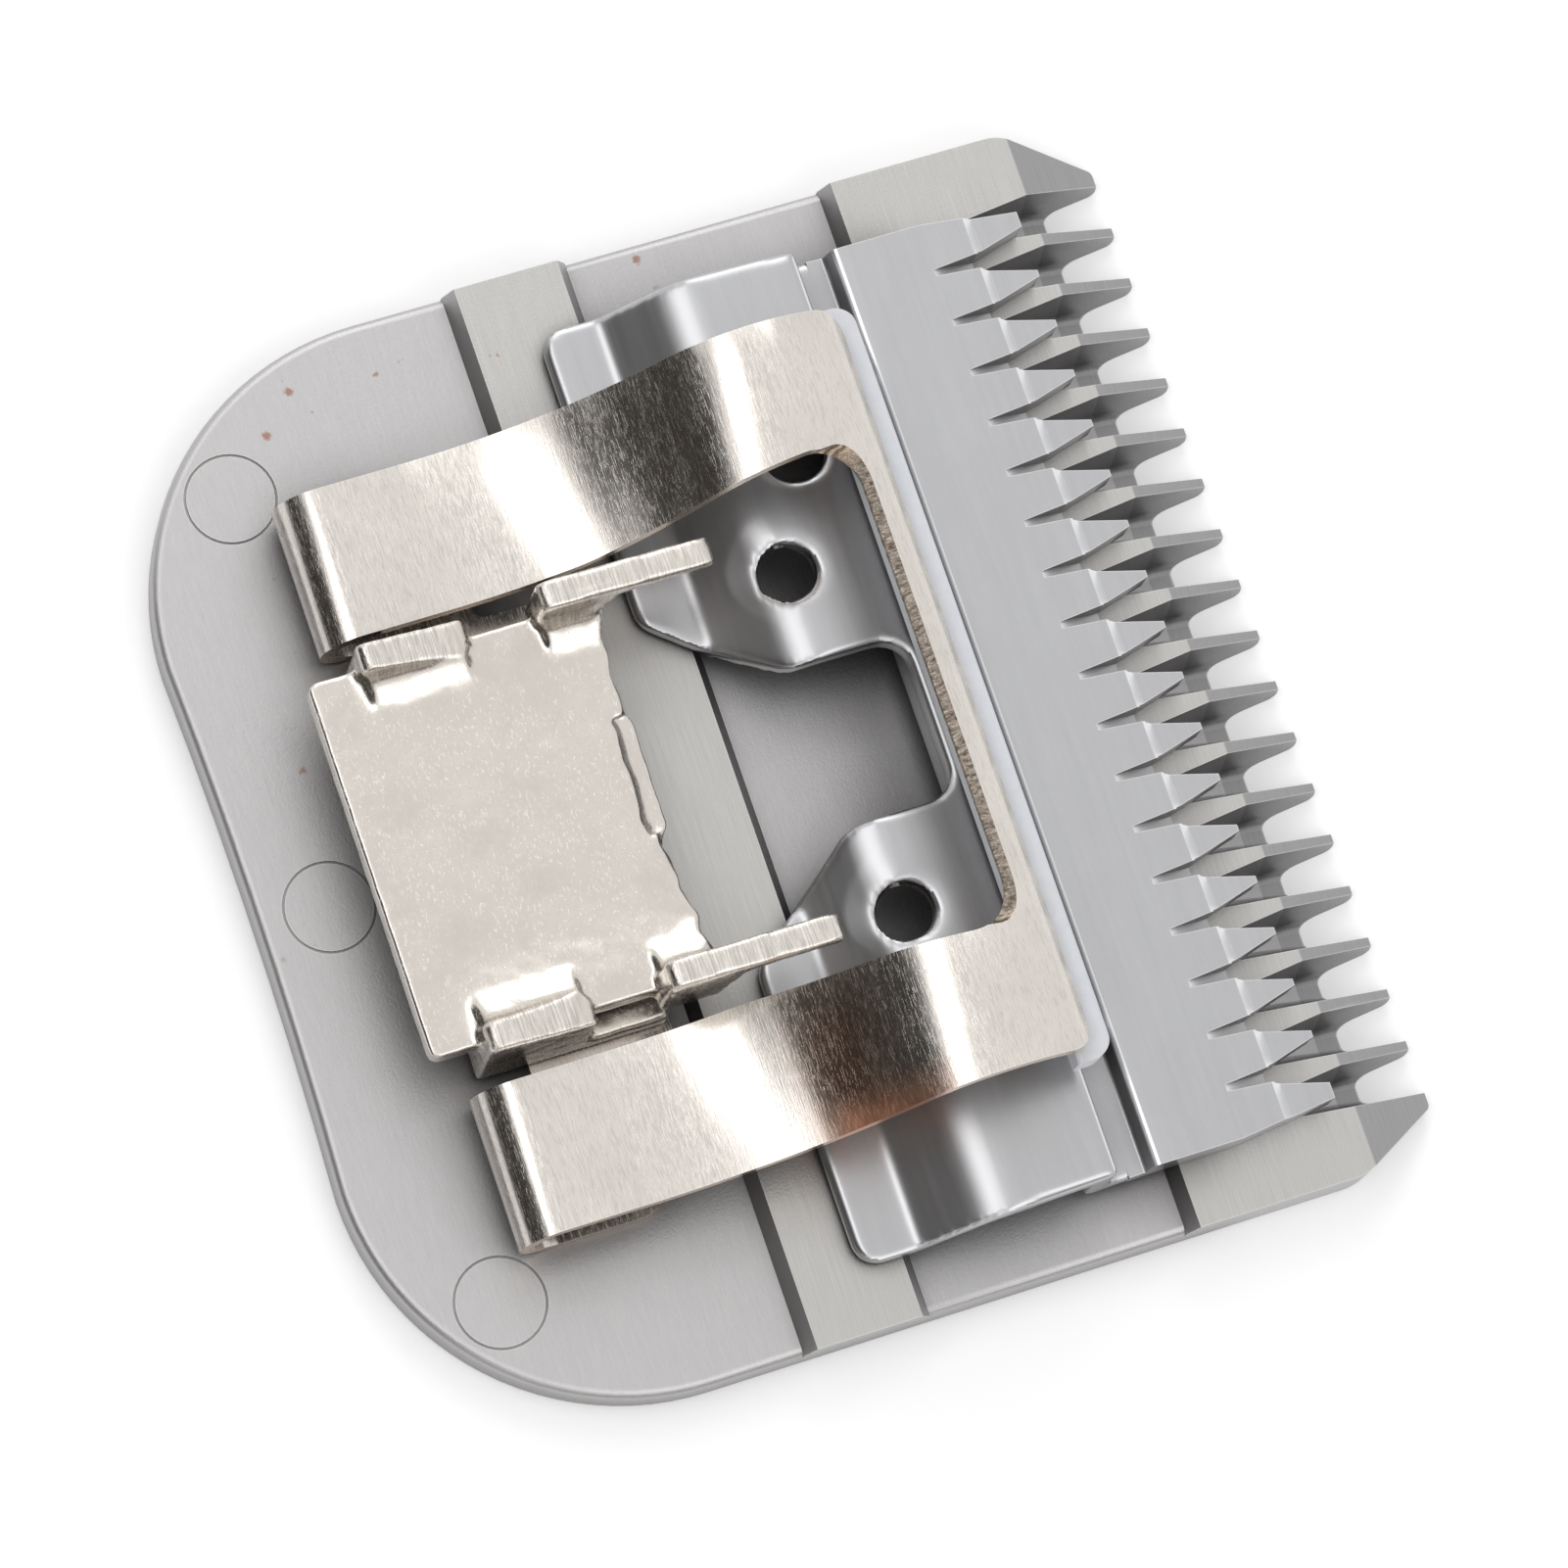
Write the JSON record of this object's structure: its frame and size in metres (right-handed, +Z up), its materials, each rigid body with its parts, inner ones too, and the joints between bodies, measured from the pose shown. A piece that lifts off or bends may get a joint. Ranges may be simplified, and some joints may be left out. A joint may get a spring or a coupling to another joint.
{
  "type": "hair clipper blade",
  "caption": "Detachable clipper blade: toothed steel comb with a sliding toothed cutter, plastic guide, bent tension spring and plated tongue socket.",
  "frame": {"origin": "middle of the footprint, on the comb's flat skin side", "axes": "+X across the blade, +Y towards the tooth tips, +Z up from the skin side to the clipper side"},
  "size_m": [0.0504, 0.048, 0.0127],
  "materials": {
    "comb_steel": "matte blasted with ground rails",
    "cutter_steel": "smooth tumbled",
    "guide_plastic": "smooth moulded",
    "spring_nickel": "nickel plated, finely brushed",
    "socket_nickel": "nickel plated, finely pitted",
    "screw_steel": "satin"
  },
  "bodies": {
    "comb_body": {"comb": "comb_steel", "cutter_guide": "guide_plastic", "tension_spring": "spring_nickel", "blade_socket": "socket_nickel", "socket_screws": "screw_steel"},
    "cutter_body": {"cutter": "cutter_steel"}
  },
  "joints": [
    {"name": "cutter_slide", "type": "slide", "parent": "comb_body", "child": "cutter_body", "axis": [1, 0, 0], "range_m": [-0.0015, 0.0009]}
  ]
}
